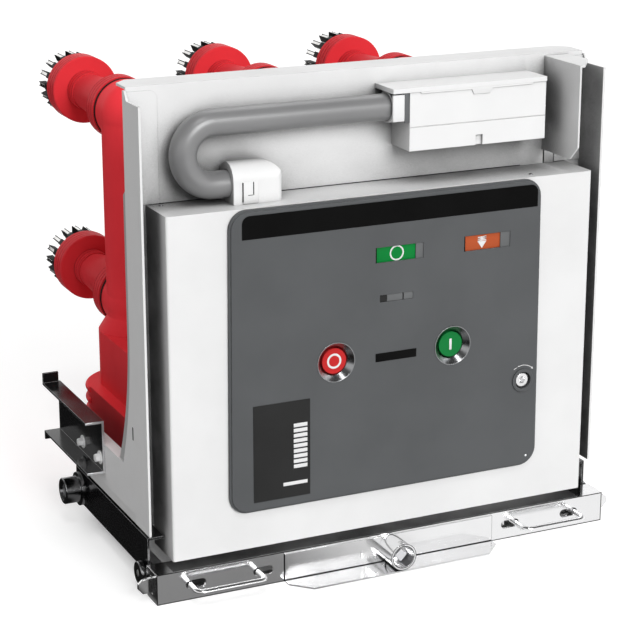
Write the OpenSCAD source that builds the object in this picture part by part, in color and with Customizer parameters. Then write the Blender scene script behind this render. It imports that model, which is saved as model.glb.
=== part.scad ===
// Withdrawable indoor vacuum circuit breaker on its racking truck.
// Millimetres. X to the right seen from the front, Y to the back, Z up from the floor.
// Working datum: Y = 0 is the front face of the cover. Each node is moved by shift_y
// at the end, so that the origin is the bottom centre of the whole breaker.

/* [Frame] */
// Distance from an outer pole's axis to the side plate's outer face
side_gap = 109; // [100:1:120]
// Thickness of the frame's sheet
sheet = 3; // [2:0.5:4]
// Distance from the cover's front face to the back plate's front face
plate_y = 67; // [60:1:80]
// Height of the back plate above the cover
plug_bay = 145; // [135:1:160]
// How far the back plate's top flange reaches backwards
flange_d = 48; // [30:1:60]
// Bevel at the ends of the top flange
flange_bevel = 16; // [8:1:24]
// Front edge of the side plates
wing_y = 16; // [8:1:30]
// Drop of the side plates' front corner below the back plate's top
wing_drop = 15; // [8:1:30]
// Height of the foot's upper edge above the base plate
foot_h = 70; // [60:1:85]
// Height over which the side plates widen towards the foot
flare_h = 173; // [130:1:220]
// How far the side plates have widened at the foot
flare_out = 36; // [15:1:45]
// How far the inner stiffeners stand behind the side plates' rear edge
gusset_lead = 15; // [8:1:22]
// Depth of the mechanism housing behind the back plate
housing_d = 120; // [100:1:140]
// Half width of the mechanism housing
housing_half = 225; // [200:1:240]

/* [Cover] */
// Gap between the cover and each side plate
cover_gap = 22; // [18:1:30]
// Gap between the front beam and the cover's lower edge
cover_lift = 7; // [6:0.5:12]
// Height of the cover
cover_h = 439.5; // [420:0.5:460]
// Rounding of the cover's front corners
cover_r = 3; // [1:0.5:8]

/* [Panel] */
// Thickness of the operating panel in front of the cover
panel_t = 6.5; // [4:0.5:10]
// Half width of the panel at its top
panel_half_top = 216; // [205:1:230]
// Half width of the panel at its bottom
panel_half_low = 219.5; // [205:0.5:235]
// Height of the panel's lower edge above the cover's
panel_lift = 50; // [40:1:70]
// Gap between the panel's upper edge and the cover's upper face
panel_gap = 1; // [0.5:0.5:20]
// Corner radius of the panel
panel_r = 24; // [14:1:40]
// Step round the panel's rim
rim_step = 2.5; // [1:0.5:4]
// Length of the black strip
strip_w = 410; // [380:1:415]
// Height of the black strip
strip_h = 29; // [20:1:32]
// Corner radius at the strip's upper ends
strip_r = 10; // [4:1:14]
// Width of the state and spring windows
window_w = 67; // [50:1:80]
// Height of the state and spring windows
window_h = 20; // [14:1:26]
// Depth of the windows behind the panel's face
window_sink = 1; // [0.5:0.5:2]
// Centre of the state window
state_x = 12.5; // [0:0.5:25]
// Centre of the spring window
spring_x = 137.5; // [120:0.5:150]
// Width of the counter's window
counter_w = 46.7; // [40:0.1:60]
// Height of the counter's window
counter_h = 9.5; // [8:0.5:12]
// Width of the dark name plate
name_w = 77; // [60:1:90]
// Height of the dark name plate
name_h = 127; // [100:1:140]
// Thickness of the plates on the panel
plate_skin = 0.8; // [0.5:0.1:1.5]

/* [Buttons] */
// Height of both push buttons above the panel's lower edge
button_rise = 182; // [150:1:210]
// Centre of the opening button
open_x = -75; // [-100:1:-60]
// Centre of the closing button
close_x = 90; // [75:1:110]
// Radius of a button
button_r = 16.5; // [12:0.5:18]
// Length of a button
button_len = 19; // [15:1:22]
// Outer radius of a button's bowl
bowl_r = 26; // [22:0.5:30]
// Travel of a button
button_travel = 5; // [3:0.5:6]
// Centre of the manual charging socket
charge_x = 195.5; // [180:0.5:200]
// Outer radius of the charging socket
charge_r = 15.5; // [12:0.5:18]

/* [Poles] */
// Distance between neighbouring poles
phase = 210; // [200:1:215]
// Distance of the pole axes behind the mechanism housing
pole_gap = 155; // [140:1:165]
// Distance between upper and lower contacts
rise = 260; // [240:1:275]
// Height of the lower contacts above the ribbed foot
lower_rise = 115; // [105:1:130]
// Radius of the column between the contacts
column_r = 40.5; // [34:0.5:41]
// Radius of the wider column below the lower contact
root_r = 53; // [46:0.5:56]
// Radius of the ribbed foot
boot_r = 70; // [62:0.5:72]
// Height of the ribbed foot
boot_h = 91; // [80:1:100]
// Radius of the ribs round the foot
rib_r = 3.8; // [2:0.1:5]
// Distance between the ribs
rib_pitch = 16.4; // [14:0.1:18]

/* [Contacts] */
// Radius of the boss that carries a contact sleeve
boss_r = 42; // [41.5:0.5:46]
// Radius of a sleeve's neck at its slim end
neck_r = 25.5; // [22:0.5:30]
// Radius of the thick flange at a sleeve's end
flange_r = 47.5; // [45:0.5:52]
// Thickness of that flange
flange_t = 31; // [26:1:38]
// Length of a sleeve from its collar to its end
sleeve_l = 187; // [170:1:205]
// Radius of the ring of contact fingers
tulip_r = 44; // [40:0.5:45]
// Length of the contact fingers
tulip_l = 48; // [46:1:60]
// Radius of the opening between the fingers
tulip_bore = 18; // [15:0.5:22]

/* [Truck] */
// How far the front beam's ends stand out past the side plates
beam_over = 3; // [1:0.5:6]
// Height of the front beam
beam_h = 40.5; // [38:0.5:44]
// Depth of the front beam
beam_d = 34.5; // [30:0.5:36]
// Wall of the front beam
beam_wall = 3; // [2:0.5:4]
// Distance of the beam's front face before the cover
beam_front = 13.5; // [10:0.5:20]
// Half length of the lip plate
lip_half = 150; // [130:1:160]
// How far the lip plate stands before the beam
lip_d = 38.5; // [30:0.5:45]
// Radius of the crank tube
tube_r = 18; // [15:0.5:18]
// Travel of the truck against the beam
rack_travel = 200; // [150:5:200]
// Lower edge of the side rails
rail_z = 25; // [22:1:27]
// Height of the side rails
rail_h = 48; // [44:1:52]
// Width of the side rails' flanges
rail_w = 22; // [18:1:22]
// Radius of the rear wheels' tread
wheel_r = 18; // [15:0.5:19]
// Radius of the rear wheels' flange
wheel_flange_r = 23; // [20:0.5:23.5]
// Length of the rear wheels
wheel_l = 25; // [20:1:30]
// Radius of the front rollers
roller_r = 15; // [12:0.5:16]
// Thickness of the front rollers
roller_t = 7; // [5:0.5:10]
// Distance between a latch handle's two legs
handle_w = 91; // [80:1:95]
// Radius of a latch handle's rod
rod_r = 4; // [3:0.5:5]
// Travel of a latch handle
latch_travel = 15; // [10:1:16]
// Length of the side brackets
bracket_l = 181; // [160:1:190]
// Height of the side brackets
bracket_h = 72; // [60:1:80]
// How far the side brackets stand out
bracket_w = 25; // [20:1:26]

/* [Plug] */
// Radius of the control cable's hose
hose_r = 17; // [14:0.5:18]
// Length of the plug's box
plug_l = 195; // [170:1:210]
// Height of the plug's box
plug_h = 80; // [70:1:84]
// Depth of the guard plate before the back plate
guard_d = 87; // [70:1:95]
// Length of the hose's elbow on the cover
elbow_l = 66; // [55:1:75]

/* [Hidden] */
$fn = 64;
fit = 0.3;
skin = 2;
clear = 6;

side_x = phase + side_gap;
inner_x = side_x - sheet;
cover_half = inner_x - cover_gap;
gusset_y = plate_y + sheet;
housing_y = gusset_y + housing_d;
pole_y = housing_y + pole_gap;
foot_y = pole_y;

rail_x = side_x - 1;
rail_top = rail_z + rail_h;
rail_y = pole_y - 40;
base_z = rail_top;
base_t = 4;
base_top = base_z + base_t;
tray_z = base_top - 1.5;
tray_top = base_z + 20;
side_low = tray_top - 2;

cover_z = beam_h + cover_lift;
cover_top = cover_z + cover_h;
plate_top = cover_top + plug_bay;
wing_top = plate_top - wing_drop;
wing_bottom = base_top + 2;
foot_top = base_top + foot_h;
flare_z = foot_top + flare_h;

panel_z = cover_z + panel_lift;
panel_top = cover_top - panel_gap;
strip_x = 5;
strip_z = panel_top - 21.5;
state_z = panel_top - 75.5;
spring_z = panel_top - 74.5;
counter_x = 8.7;
counter_z = panel_top - 132;
button_z = panel_z + button_rise;
button_face = -1;
bowl_d = 5;
legend_x = 8;
legend_w = 58.5;
legend_h = 9;
name_x = -149.5;
name_z = panel_z + 13 + name_h / 2;
charge_z = button_z - 62;
charge_ring = 4;
shaft_r = 9;
shaft_l = 20.5;

boot_top = base_top + boot_h;
lower_z = boot_top + lower_rise;
upper_z = lower_z + rise;
root_top = lower_z - boss_r + 4;
gasket_t = 9;
gasket_y = pole_y + 23;
collar_y = gasket_y + gasket_t;
neck_y = collar_y + 26;
sleeve_end = collar_y + sleeve_l;
flange_y = sleeve_end - flange_t;
hub_y = flange_y - 21;
tulip_y = sleeve_end + tulip_l;

beam_half = side_x + beam_over;
beam_z = beam_h / 2;
beam_back = beam_d - beam_front;
lip_front = beam_front + lip_d;
rail_front = beam_back + clear;
axle_r = 6;
axle_z = rail_z + 24.3;
rear_axle_y = rail_y - 25;
roller_z = rail_z - 2;
roller_y = beam_back + roller_r + clear - 1;
slide_y = rail_front + rack_travel + 61;
screw_r = 8;
screw_y = slide_y + 2;
nut_y = plate_y + 1.5;
leg_outer = beam_half - 44;
leg_inner = leg_outer - handle_w;
handle_out = 32.5;
tongue_y = 2;
tongue_t = 4;
tongue_low = 11.5;
tongue_top = 31;

guard_x = cover_half - 36;
guard_t = 2.5;
guard_low = cover_top + 19;
plug_end = guard_x - 26;
plug_x = plug_end - plug_l;
plug_front = 18;
hose_y = 42;
hose_z = plate_top - 46;
hose_low = cover_top + hose_r + 5.6;
bend_r = (hose_z - hose_low) / 2;
bend_x = -inner_x + 44.3 + hose_r + bend_r;
elbow_x = bend_x + 17.5;

shift_y = -(tulip_y - lip_front) / 2;

white = [0.93, 0.93, 0.93];
grey = [0.38, 0.39, 0.40];
black = [0.06, 0.06, 0.06];
red = [0.75, 0.12, 0.13];
steel = [0.75, 0.76, 0.77];
silver = [0.82, 0.82, 0.80];

// A box from one corner to the opposite one.
module box(a, b) {
    translate(a) cube(b - a);
}

// A box with its middle at x and z, from y0 to y1.
module field(x, z, w, h, y0, y1) {
    box([x - w / 2, y0, z - h / 2], [x + w / 2, y1, z + h / 2]);
}

// A cylinder along Y from y0 to y1.
module rod_y(x, z, y0, y1, r) {
    translate([x, y0, z]) rotate([-90, 0, 0]) cylinder(h = y1 - y0, r = r);
}

// A cylinder along X from x0 to x1.
module rod_x(x0, x1, y, z, r) {
    translate([x0, y, z]) rotate([0, 90, 0]) cylinder(h = x1 - x0, r = r);
}

// A flat shape drawn in X and Z, standing from y0 backwards to y1.
module stand(y0, y1) {
    translate([0, y1, 0]) rotate([90, 0, 0]) linear_extrude(y1 - y0) children();
}

// A flat shape drawn in Y and Z, from x0 to x1.
module slab(x0, x1) {
    translate([x0, 0, 0]) rotate([90, 0, 90]) linear_extrude(x1 - x0) children();
}

// A body turned about an axis along Y, drawn as radius and depth.
module turned(x, z) {
    translate([x, 0, z]) rotate([-90, 0, 0]) rotate_extrude() children();
}

// The same piece on both sides of the breaker.
module both_sides() {
    children();
    mirror([1, 0, 0]) children();
}

// A convex outline with every corner rounded to the radius r.
module rounded(points, r) {
    n = len(points);
    function dir(i, j) = (points[j] - points[i]) / norm(points[j] - points[i]);
    function half(i) = let(a = dir(i, (i + 1) % n), b = dir(i, (i + n - 1) % n))
        acos(a * b) / 2;
    function cut(i) = r / tan(half(i));
    polygon([for (i = [0 : n - 1], k = [-1, 1])
        points[i] + cut(i) * dir(i, (i + k + n) % n)]);
    for (i = [0 : n - 1]) {
        a = dir(i, (i + 1) % n);
        b = dir(i, (i + n - 1) % n);
        translate(points[i] + (a + b) / norm(a + b) * r / sin(half(i))) circle(r);
    }
}

// The curve by which a sheet's rear edge widens from y_back to y_low at the foot.
module flare_cut(y_back, y_low) {
    out = y_low - y_back;
    r = (flare_h * flare_h + out * out) / (2 * out);
    intersection() {
        translate([y_back + r, flare_z]) circle(r);
        translate([y_back - 1, foot_top]) square([out + 2, flare_h]);
    }
}

// Side plate: a narrow wing that widens in a curve to a long foot with a folded upper edge,
// a folded tab on the back plate and a narrow slit.
module side_plate() {
    y_low = gusset_y + flare_out;
    upstand = 11;
    fold = 12;
    tab_w = 39;
    tab_r = 10;
    slit_y = plate_y - 0.5;
    slit_z = foot_top + 43;
    slit_w = 4;
    slit_h = 17;
    tab_low = cover_top + 1;
    tab_top = wing_top + upstand - 2;
    slab(-side_x, -inner_x) difference() {
        polygon([[wing_y, wing_bottom], [wing_y, wing_top], [gusset_y - 13, wing_top],
            [gusset_y - 5, wing_top + upstand], [gusset_y, wing_top + upstand],
            [gusset_y, flare_z], [y_low, foot_top], [foot_y, foot_top], [foot_y, side_low],
            [plate_y - 2, side_low], [plate_y - 2, wing_bottom]]);
        flare_cut(gusset_y, y_low);
        translate([slit_y - slit_w / 2, slit_z]) square([slit_w, slit_h]);
    }
    box([-inner_x, y_low + gusset_lead + 8, foot_top - sheet], [fold - inner_x, foot_y, foot_top]);
    stand(plate_y - 1.2, plate_y) difference() {
        translate([-inner_x, tab_low]) square([tab_w, tab_top - tab_low]);
        difference() {
            translate([tab_w - tab_r - inner_x, tab_top - tab_r]) square(tab_r + 1);
            translate([tab_w - tab_r - inner_x, tab_top - tab_r]) circle(tab_r);
        }
    }
}

module left_side_plate() {
    color(white) side_plate();
}

module right_side_plate() {
    color(white) mirror([1, 0, 0]) side_plate();
}

// Inner stiffeners: they follow the side plates' curve a little further back.
module frame_gussets() {
    y_top = gusset_y + gusset_lead;
    y_low = y_top + flare_out + 6;
    top = cover_top + 16;
    bevel = 5;
    color(white) both_sides() slab(-inner_x, -inner_x + sheet) difference() {
        polygon([[gusset_y, tray_top], [gusset_y, top], [y_top - bevel, top],
            [y_top, top - bevel], [y_top, flare_z], [y_low, foot_top], [y_low, tray_top]]);
        flare_cut(y_top, y_low);
    }
}

// Back plate with its top flange bent backwards and a notch beside the plug guard.
module back_plate() {
    color(white) {
        difference() {
            box([-inner_x, plate_y, base_top], [inner_x, gusset_y, plate_top]);
            box([guard_x + 4, plate_y - 1, cover_top], [cover_half, gusset_y + 1, guard_low]);
        }
        translate([0, 0, plate_top - sheet]) linear_extrude(sheet)
            polygon([[-inner_x, plate_y], [inner_x, plate_y],
                [inner_x, plate_y + flange_d - flange_bevel],
                [inner_x - flange_bevel, plate_y + flange_d],
                [flange_bevel - inner_x, plate_y + flange_d],
                [-inner_x, plate_y + flange_d - flange_bevel]]);
    }
}

// Base tray on the rails: it carries the poles, and is narrower behind the foot.
module base_plate() {
    narrow = phase + boot_r + 8;
    seat = rail_x - rail_w + 8;
    rear = pole_y + boot_r + 5;
    color(white) {
        translate([0, 0, base_z]) linear_extrude(base_t)
            polygon([[-seat, plate_y], [seat, plate_y], [seat, foot_y], [narrow, foot_y],
                [narrow, rear], [-narrow, rear], [-narrow, foot_y], [-seat, foot_y]]);
        both_sides() {
            box([-inner_x, plate_y, tray_z], [-seat, foot_y, base_top]);
            box([-inner_x, gusset_y, tray_z], [sheet - inner_x, foot_y, tray_top]);
        }
    }
}

module mechanism_housing() {
    color(white) box([-housing_half, gusset_y, base_top], [housing_half, housing_y, cover_top]);
}

module panel_outline(inset) {
    rounded([[-panel_half_low + inset, panel_z + inset], [panel_half_low - inset, panel_z + inset],
        [panel_half_top - inset, panel_top - inset], [-panel_half_top + inset, panel_top - inset]],
        panel_r - inset);
}

// Mechanism cover: a closed box with the hollows behind the buttons and the socket.
module front_cover() {
    hollow = button_face + button_len + button_travel + 7;
    color(white) difference() {
        translate([0, 0, cover_z]) linear_extrude(cover_h)
            union() {
                translate([-cover_half, cover_r]) square([2 * cover_half, plate_y - cover_r]);
                translate([cover_r - cover_half, 0]) square([2 * (cover_half - cover_r), plate_y]);
                for (s = [-1, 1]) translate([s * (cover_half - cover_r), cover_r]) circle(cover_r);
            }
        for (x = [open_x, close_x]) {
            rod_y(x, button_z, -1, bowl_d, bowl_r);
            rod_y(x, button_z, -1, hollow, button_r + 1);
        }
        rod_y(charge_x, charge_z, -1, 2, charge_r - charge_ring);
        rod_y(charge_x, charge_z, -1, shaft_l, shaft_r + fit);
    }
}

// The strip's outline: square at the bottom, rounded at its upper corners.
module strip_outline() {
    translate([strip_x - strip_w / 2, strip_z - strip_h / 2]) {
        square([strip_w, strip_h - strip_r]);
        translate([strip_r, 0]) square([strip_w - 2 * strip_r, strip_h]);
        for (x = [strip_r, strip_w - strip_r]) translate([x, strip_h - strip_r]) circle(strip_r);
    }
}

// Operating panel with the recesses for the strip and the windows.
module control_panel() {
    face = -panel_t;
    floor_y = face + window_sink + skin;
    color(grey) difference() {
        union() {
            stand(face + rim_step, 0) panel_outline(0);
            stand(face, 0) panel_outline(rim_step);
        }
        for (x = [open_x, close_x]) rod_y(x, button_z, face - 1, 1, bowl_r);
        rod_y(charge_x, charge_z, face - 1, 1, charge_r);
        stand(face - 1, face + 1) strip_outline();
        field(state_x, state_z, window_w, window_h, face - 1, floor_y);
        field(spring_x, spring_z, window_w, window_h, face - 1, floor_y);
        field(counter_x, counter_z, counter_w, counter_h, face - 1, floor_y);
    }
}

module panel_strip() {
    color(black) stand(-panel_t - 0.5, -panel_t + 1) strip_outline();
}

module name_plate() {
    color(black) field(name_x, name_z, name_w, name_h, -panel_t - plate_skin, -panel_t);
}

module legend_plate() {
    color(black) field(legend_x, button_z, legend_w, legend_h, -panel_t - plate_skin, -panel_t);
}

// A window's pane at the bottom of its recess.
module pane(x, z, w, h) {
    y = -panel_t + window_sink;
    field(x, z, w, h, y, y + skin);
}

module state_window() {
    color([0.05, 0.54, 0.24]) pane(state_x, state_z, window_w, window_h);
}

module spring_window() {
    color([0.79, 0.35, 0.18]) pane(spring_x, spring_z, window_w, window_h);
}

module counter_window() {
    color(black) pane(counter_x, counter_z, counter_w, counter_h);
}

// Conical metal bowls round the buttons.
module button_bowls() {
    lip = -panel_t - plate_skin;
    color(steel) for (x = [open_x, close_x]) turned(x, button_z)
        polygon([[bowl_r - 1, lip], [bowl_r, lip], [bowl_r, bowl_d],
            [button_r + 1, bowl_d], [button_r + 1, 1]]);
}

module push_button(x) {
    rod_y(x, button_z, button_face, button_face + button_len, button_r);
}

module open_button() {
    color([0.80, 0.12, 0.12]) push_button(open_x);
}

module close_button() {
    color([0.05, 0.50, 0.20]) push_button(close_x);
}

// Ring of the manual charging socket.
module charging_socket() {
    color(grey) difference() {
        rod_y(charge_x, charge_z, -panel_t - 2, 0, charge_r);
        rod_y(charge_x, charge_z, -panel_t - 3, 1, charge_r - charge_ring);
    }
}

// Charging shaft with a six-sided hole for the lever.
module charging_shaft() {
    face = -panel_t + 1;
    color(grey) difference() {
        rod_y(charge_x, charge_z, face, face + shaft_l, shaft_r);
        stand(face - 1, face + 10) translate([charge_x, charge_z]) circle(5, $fn = 6);
    }
}

// A pole's plan: half round at the back, with straight sides to the housing in front.
module pole_plan(r) {
    circle(r);
    translate([-r, -pole_gap]) square([2 * r, pole_gap]);
}

// A contact's boss: a ball on the pole's axis that runs on as a cylinder to the back.
module boss(x, z) {
    turned(x, z) {
        intersection() {
            translate([0, pole_y]) circle(boss_r);
            translate([0, pole_y - boss_r - 1]) square([boss_r + 1, boss_r + 1]);
        }
        translate([0, pole_y]) square([boss_r, gasket_y - pole_y]);
    }
}

// Poles: ribbed foot, two column widths, a boss for each contact and flat seats behind.
module pole(x) {
    ribs = 5;
    difference() {
        union() {
            translate([x, pole_y, base_top]) linear_extrude(boot_h) pole_plan(boot_r);
            translate([x, pole_y, boot_top]) linear_extrude(root_top - boot_top) pole_plan(root_r);
            translate([x, pole_y, 0]) rotate_extrude() polygon([[0, root_top], [root_r, root_top],
                [column_r, root_top + 20], [column_r, upper_z], [0, upper_z]]);
            translate([x, pole_y, 0]) rotate_extrude(angle = 180) for (k = [0 : ribs - 1])
                translate([boot_r, boot_top - rib_r - k * rib_pitch]) circle(rib_r);
            for (z = [lower_z, upper_z]) boss(x, z);
        }
        for (z = [lower_z, upper_z]) rod_y(x, z, gasket_y, pole_y + boot_r, boss_r + 3);
    }
}

module left_pole() {
    color(red) pole(-phase);
}

module middle_pole() {
    color(red) pole(0);
}

module right_pole() {
    color(red) pole(phase);
}

module at_contacts() {
    for (x = [-phase, 0, phase], z = [lower_z, upper_z]) translate([x, 0, z]) children();
}

// Insulating sleeves: a collar, a neck that tapers to a hub, and a thick flange. Three fine
// grooves run round the collar, the hub and the flange.
module contact_sleeves() {
    collar_r = boss_r + 2;
    neck_root = neck_r + 5.5;
    hub_r = neck_r + 1.5;
    groove = 0.8;
    groove_w = 1.2;
    pitch = 8;
    edge = 1.5;
    color(red) at_contacts() turned(0, 0) difference() {
        polygon([[0, collar_y], [collar_r, collar_y], [collar_r, neck_y - edge],
            [collar_r - edge, neck_y], [neck_root, neck_y], [neck_r, hub_y], [hub_r, hub_y],
            [hub_r, flange_y], [flange_r - edge, flange_y], [flange_r, flange_y + edge],
            [flange_r, sleeve_end], [0, sleeve_end]]);
        for (k = [0 : 2],
                ring = [[collar_r, collar_y + 6], [hub_r, hub_y + 3], [flange_r, flange_y + 6]])
            translate([ring[0] - groove, ring[1] + k * pitch]) square([2 * groove, groove_w]);
    }
}

module sleeve_gaskets() {
    color(black) at_contacts() rod_y(0, 0, gasket_y, collar_y, boss_r + 0.5);
}

// Contact fingers: a ring of separate fingers round the opening for the fixed contact.
module tulip_contacts() {
    count = 16;
    root = 4;
    slot = 8.5;
    slot_d = 14;
    bore_l = 45;
    color(silver) at_contacts() difference() {
        rod_y(0, 0, sleeve_end, tulip_y, tulip_r);
        rod_y(0, 0, tulip_y - bore_l, tulip_y + 1, tulip_bore);
        for (k = [0 : count - 1]) rotate([0, (k + 0.5) * 360 / count, 0])
            box([tulip_r - slot_d, sleeve_end + root, -slot / 2],
                [tulip_r + 2, tulip_y + 1, slot / 2]);
    }
}

// Parked control plug: box with a lid, and the clamp that holds the hose.
module plug_box() {
    lid = 6;
    eave = 24;
    clamp = 21;
    top = hose_z + 26;
    low = top - plug_h;
    seam = low + 30;
    notch_x = plug_x + 99;
    notch_w = 10;
    color(white) difference() {
        union() {
            box([plug_x, plug_front, low], [plug_end, plate_y, top]);
            box([plug_x - eave, plug_front - 2, top - lid], [plug_end, plate_y, top]);
            rod_x(plug_x - clamp, plug_x, hose_y, hose_z, hose_r + 3);
            box([plug_x - clamp + 3, plug_front + 1, hose_z - 15], [plug_x, hose_y, hose_z + 15]);
        }
        rod_x(plug_x - clamp - 9, plug_x - 2, hose_y, hose_z, hose_r + fit);
        field(notch_x, low, notch_w, 26, plug_front - 1, plug_front + 4);
        box([plug_x - 1, plug_front - 1, seam - 0.5], [plug_end + 1, plug_front + 0.6, seam + 0.5]);
    }
}

// Control cable's hose: from the plug to the left, round a half turn and into the elbow.
module hose() {
    color([0.5, 0.5, 0.5]) {
        rod_x(bend_x, plug_x - 2, hose_y, hose_z, hose_r);
        rod_x(bend_x, elbow_x + 12, hose_y, hose_low, hose_r);
        translate([bend_x, hose_y, hose_z - bend_r]) rotate([90, 0, 0]) rotate([0, 0, 90])
            rotate_extrude(angle = 180) translate([bend_r, 0]) circle(hose_r);
    }
}

// Elbow that leads the hose down into the cover, rounded over its top and right end.
module hose_elbow() {
    top = hose_low + hose_r + 10;
    end = elbow_x + elbow_l;
    half = hose_r + 5;
    bend = 24;
    edge = 9;
    color(white) difference() {
        intersection() {
            slab(elbow_x, end) union() {
                translate([hose_y - half, cover_top]) square([2 * half, top - cover_top - half]);
                translate([hose_y, top - half]) circle(half);
            }
            stand(hose_y - half - 1, hose_y + half + 1) union() {
                translate([elbow_x, cover_top]) square([elbow_l - bend, top - cover_top]);
                translate([elbow_x, cover_top]) square([elbow_l, top - cover_top - bend]);
                translate([end - bend, top - bend]) circle(bend);
            }
            translate([0, hose_y - half, cover_top]) linear_extrude(top) union() {
                translate([elbow_x, 0]) square([elbow_l - edge, 2 * half]);
                translate([elbow_x, edge]) square([elbow_l, 2 * (half - edge)]);
                for (y = [edge, 2 * half - edge]) translate([end - edge, y]) circle(edge);
            }
        }
        rod_x(elbow_x - 1, elbow_x + 12, hose_y, hose_low, hose_r + fit);
    }
}

// Guard plate at the right of the plug, with its top edge folded to the right.
module plug_guard() {
    top = plate_top - sheet;
    front = plate_y - guard_d;
    bevel = 18;
    fold_front = 7;
    fold = 37;
    color(white) {
        slab(guard_x, guard_x + guard_t) polygon([[plate_y, guard_low], [front + bevel, guard_low],
            [front, guard_low + bevel], [front, top], [plate_y, top]]);
        translate([guard_x, 0, top - guard_t]) linear_extrude(guard_t)
            polygon([[0, plate_y], [0, front], [fold_front, front], [fold, front + 40],
                [fold, plate_y - 1.5]]);
    }
}

// Side rails of the truck, open towards the inside, with a lug for each front roller.
module side_rails() {
    wall = 3;
    lug = 33;
    lug_low = roller_z - 9;
    color(black) both_sides() {
        difference() {
            box([-rail_x, rail_front, rail_z], [rail_w - rail_x, rail_y, rail_top]);
            box([wall - rail_x, rail_front - 1, rail_z + wall],
                [rail_w + 1 - rail_x, rail_y + 1, rail_top - wall]);
        }
        box([-rail_x, rail_front, lug_low], [wall - rail_x, rail_front + lug, rail_z + 1]);
    }
}

// Rear crossmember between the rails; its foot stands on the floor.
module rear_crossmember() {
    web = rail_y - 5;
    web_t = 4;
    tip = rail_x - rail_w;
    foot = tip - 43;
    foot_d = 40;
    color(black) {
        box([-tip, web - web_t, rail_z], [tip, web, rail_top]);
        box([-foot, web - web_t, 0], [foot, web, rail_z]);
        box([-foot, web - foot_d, 0], [foot, web, web_t]);
    }
}

// Side brackets: channels open to the outside with tabs turned up and down at the rear.
module side_brackets() {
    low = foot_top - 40;
    top = low + bracket_h;
    out = side_x + bracket_w;
    rear = foot_y + 14;
    front = rear - bracket_l;
    color(black) both_sides() {
        box([-side_x - sheet, front, low], [-side_x, rear, top]);
        box([-out, front, top - sheet], [-side_x, rear, top]);
        box([-out, rear - sheet, top - sheet], [-side_x - sheet, rear, top + 14]);
        box([-out, front, low], [-side_x, rear, low + sheet]);
        box([-out, rear - sheet, low - 9], [-out + 12, rear, low + sheet]);
    }
}

// Axle stubs: headed ones for the rear wheels, short ones for the front rollers.
module wheel_axles() {
    head = 2;
    wheel_end = rail_x + wheel_l;
    roller_end = rail_x + roller_t + 2;
    color(steel) both_sides() {
        translate([0, rear_axle_y, axle_z]) {
            rod_x(-wheel_end, -rail_x, 0, 0, axle_r);
            rod_x(-wheel_end, head - wheel_end, 0, 0, axle_r + 3);
        }
        rod_x(-roller_end, -rail_x, roller_y, roller_z, axle_r - 2);
    }
}

// Flanged rear wheel with a hollow outer end.
module wheel(side) {
    gap = 3;
    bore = axle_r + fit;
    color([0.16, 0.16, 0.17]) translate([0, rear_axle_y, axle_z]) mirror([side > 0 ? 1 : 0, 0, 0])
        translate([-rail_x - gap, 0, 0]) rotate([0, -90, 0]) rotate_extrude()
            polygon([[bore, 0], [wheel_flange_r, 0], [wheel_flange_r, 4], [wheel_r, 5.5],
                [wheel_r, wheel_l - 1], [wheel_r - 1, wheel_l], [wheel_r - 5, wheel_l],
                [wheel_r - 7, wheel_l - 5], [bore, wheel_l - 5]]);
}

// Narrow front roller behind the beam's end.
module roller(side) {
    gap = 2;
    bore = axle_r - 2 + fit;
    color([0.08, 0.08, 0.08]) translate([0, roller_y, roller_z]) mirror([side > 0 ? 1 : 0, 0, 0])
        translate([-rail_x - gap, 0, 0]) rotate([0, -90, 0]) rotate_extrude()
            polygon([[bore, 0], [roller_r - 1, 0], [roller_r, 1], [roller_r, roller_t - 1],
                [roller_r - 1, roller_t], [bore, roller_t]]);
}

module front_left_wheel() {
    roller(-1);
}

module front_right_wheel() {
    roller(1);
}

module rear_left_wheel() {
    wheel(-1);
}

module rear_right_wheel() {
    wheel(1);
}

// Front beam: a channel open at the back, with slots for the latch handles.
module front_beam() {
    slot_r = rod_r + 1.5;
    face = -beam_front;
    color(steel) difference() {
        box([-beam_half, face, 0], [beam_half, beam_back, beam_h]);
        box([beam_wall - beam_half, face + beam_wall, beam_wall],
            [beam_half - beam_wall, beam_back + 1, beam_h - beam_wall]);
        both_sides() for (x = [leg_inner, leg_outer])
            stand(face - 1, face + beam_wall + 1) union() {
                translate([x, beam_z]) circle(slot_r);
                translate([x - latch_travel - 1, beam_z]) circle(slot_r);
                translate([x - latch_travel - 1, beam_z - slot_r])
                    square([latch_travel + 1, 2 * slot_r]);
            }
        both_sides() box([-beam_half - 1, tongue_y - 1.5, tongue_low - 2],
            [beam_wall + 1 - beam_half, tongue_y + tongue_t + 1.5, tongue_top + 2]);
        rod_y(0, beam_z, face - 1, face + beam_wall + 1, screw_r + 1);
    }
}

// Lip plate on the beam's middle: a shallow shelf along the floor with bevelled ends.
module lip_plate() {
    face = -beam_front;
    bevel_x = 24;
    bevel_y = 14;
    mark_x = -42;
    color(steel) difference() {
        union() {
            box([-lip_half, face - skin, 0], [lip_half, face, beam_h - 3]);
            linear_extrude(skin) polygon([[-lip_half, face], [-lip_half, face - bevel_y],
                [bevel_x - lip_half, -lip_front], [lip_half - bevel_x, -lip_front],
                [lip_half, face - bevel_y], [lip_half, face]]);
        }
        rod_y(0, beam_z, face - skin - 1, face + 1, screw_r + 1);
        field(mark_x, beam_z - 3, 2, 8, face - skin - 1, face + 1);
    }
}

// Guide tube for the racking crank, with a key notch at the top.
module crank_tube() {
    back = -beam_front - skin;
    key = 3;
    color(steel) difference() {
        rod_y(0, beam_z, -lip_front, back, tube_r);
        rod_y(0, beam_z, -lip_front - 1, back - 8, tube_r - 3.5);
        rod_y(0, beam_z, -lip_front - 1, back + 1, tube_r - 6);
        box([-key, -lip_front - 1, beam_z + tube_r - 8], [key, 12 - lip_front, beam_z + tube_r + 1]);
    }
}

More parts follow.
